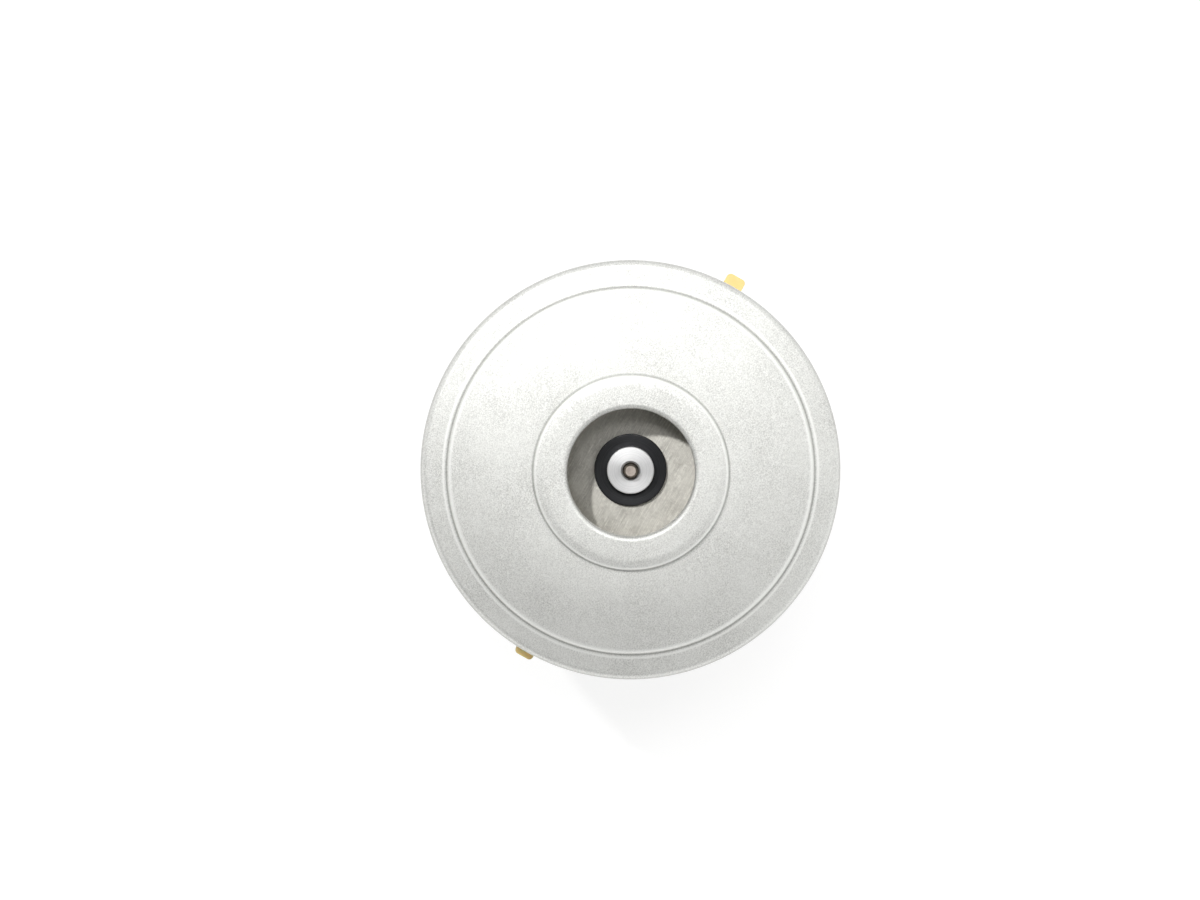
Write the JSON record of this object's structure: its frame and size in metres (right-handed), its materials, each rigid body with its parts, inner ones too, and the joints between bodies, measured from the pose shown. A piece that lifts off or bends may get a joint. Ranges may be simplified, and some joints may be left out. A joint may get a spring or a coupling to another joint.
{
  "type": "vacuum cleaner motor unit",
  "caption": "Dry vacuum-cleaner motor: centrifugal fan under a stepped round steel cover with a rolled air eye, driven by a universal motor with sliding carbon brushes.",
  "frame": {"origin": "centre of the rear bearing boss's end face, which the unit stands on", "axes": "+Z along the shaft towards the air eye, X along the carbon brushes and the two yellow lugs, Y along the field poles"},
  "size_m": [0.138, 0.13, 0.115],
  "materials": {
    "galvanised_steel": "galvanised sheet with a fine spangle",
    "plated_steel": "zinc-plated pressed sheet",
    "impeller_aluminium": "brushed sheet",
    "black_washer": "blackened, satin",
    "turned_nut": "bright turned face",
    "shaft_steel": "ground",
    "yellow_plastic": "moulded, satin",
    "screw_zinc": "zinc plated",
    "bearing_steel": "ground",
    "cage_brass": "pressed",
    "spring_steel": "drawn",
    "laminations": "stacked laminations",
    "enamelled_copper": "enamelled wire",
    "insulation": "moulded insulation",
    "commutator_copper": "turned copper",
    "moulded_hub": "moulded resin",
    "carbon": "graphite",
    "brass": "stamped",
    "bare_copper": "stranded",
    "lead_sleeve": "glass-fibre sleeve"
  },
  "bodies": {
    "root": {"fan_cover": "galvanised_steel", "front_bracket": "plated_steel", "rear_frame": "plated_steel", "stator_spacers": "plated_steel", "diffuser": "yellow_plastic", "brush_holder_a": "yellow_plastic", "brush_holder_b": "yellow_plastic", "diffuser_screws": "screw_zinc", "frame_screws": "screw_zinc", "stator_screws": "screw_zinc", "brush_screws": "screw_zinc", "front_bearing_outer_ring": "bearing_steel", "front_bearing_shields": "bearing_steel", "rear_bearing_outer_ring": "bearing_steel", "rear_bearing_shields": "bearing_steel", "preload_washer": "spring_steel", "brush_spring_a": "spring_steel", "brush_spring_b": "spring_steel", "stator_core": "laminations", "field_coil_a": "enamelled_copper", "field_coil_b": "enamelled_copper", "upper_coil_frame": "insulation", "lower_coil_frame": "insulation", "brush_tube_a": "brass", "brush_tube_b": "brass", "brush_terminal_a": "brass", "brush_terminal_b": "brass", "supply_terminal_a": "brass", "supply_terminal_b": "brass", "brush_pigtail_a": "bare_copper", "brush_pigtail_b": "bare_copper", "coil_lead_a": "lead_sleeve", "coil_lead_b": "lead_sleeve"},
    "rotor": {"shaft": "shaft_steel", "impeller_front_plate": "impeller_aluminium", "impeller_back_plate": "impeller_aluminium", "impeller_blades": "impeller_aluminium", "impeller_spacer": "shaft_steel", "clamp_washer": "black_washer", "fan_nut": "turned_nut", "armature_core": "laminations", "armature_winding": "enamelled_copper", "slot_wedges": "insulation", "upper_armature_insulator": "insulation", "lower_armature_insulator": "insulation", "commutator_bars": "commutator_copper", "commutator_hub": "moulded_hub", "front_bearing_inner_ring": "bearing_steel", "rear_bearing_inner_ring": "bearing_steel"},
    "front_ball_set": {"front_bearing_balls": "bearing_steel", "front_bearing_cage": "cage_brass"},
    "rear_ball_set": {"rear_bearing_balls": "bearing_steel", "rear_bearing_cage": "cage_brass"},
    "brush_a": {"carbon_brush_a": "carbon"},
    "brush_b": {"carbon_brush_b": "carbon"}
  },
  "joints": [
    {"name": "rotor_spin", "type": "hinge", "parent": "root", "child": "rotor", "pos_m": [0, 0, 0], "axis": [0, 0, 1], "continuous": true},
    {"name": "front_ball_spin", "type": "hinge", "parent": "root", "child": "front_ball_set", "pos_m": [0, 0, 0.083], "axis": [0, 0, 1], "continuous": true},
    {"name": "rear_ball_spin", "type": "hinge", "parent": "root", "child": "rear_ball_set", "pos_m": [0, 0, 0.0059], "axis": [0, 0, 1], "continuous": true},
    {"name": "brush_a_slide", "type": "slide", "parent": "root", "child": "brush_a", "axis": [1, 0, 0], "range_m": [0, 0.004], "stiffness_N_per_m": 200, "springref_m": -0.01, "deforming": ["brush_spring_a", "brush_pigtail_a"]},
    {"name": "brush_b_slide", "type": "slide", "parent": "root", "child": "brush_b", "axis": [-1, 0, 0], "range_m": [0, 0.004], "stiffness_N_per_m": 200, "springref_m": -0.01, "deforming": ["brush_spring_b", "brush_pigtail_b"]}
  ],
  "couplings": [
    {"joint": "front_ball_spin", "follows": "rotor_spin", "ratio": 0.37},
    {"joint": "rear_ball_spin", "follows": "rotor_spin", "ratio": 0.37}
  ]
}
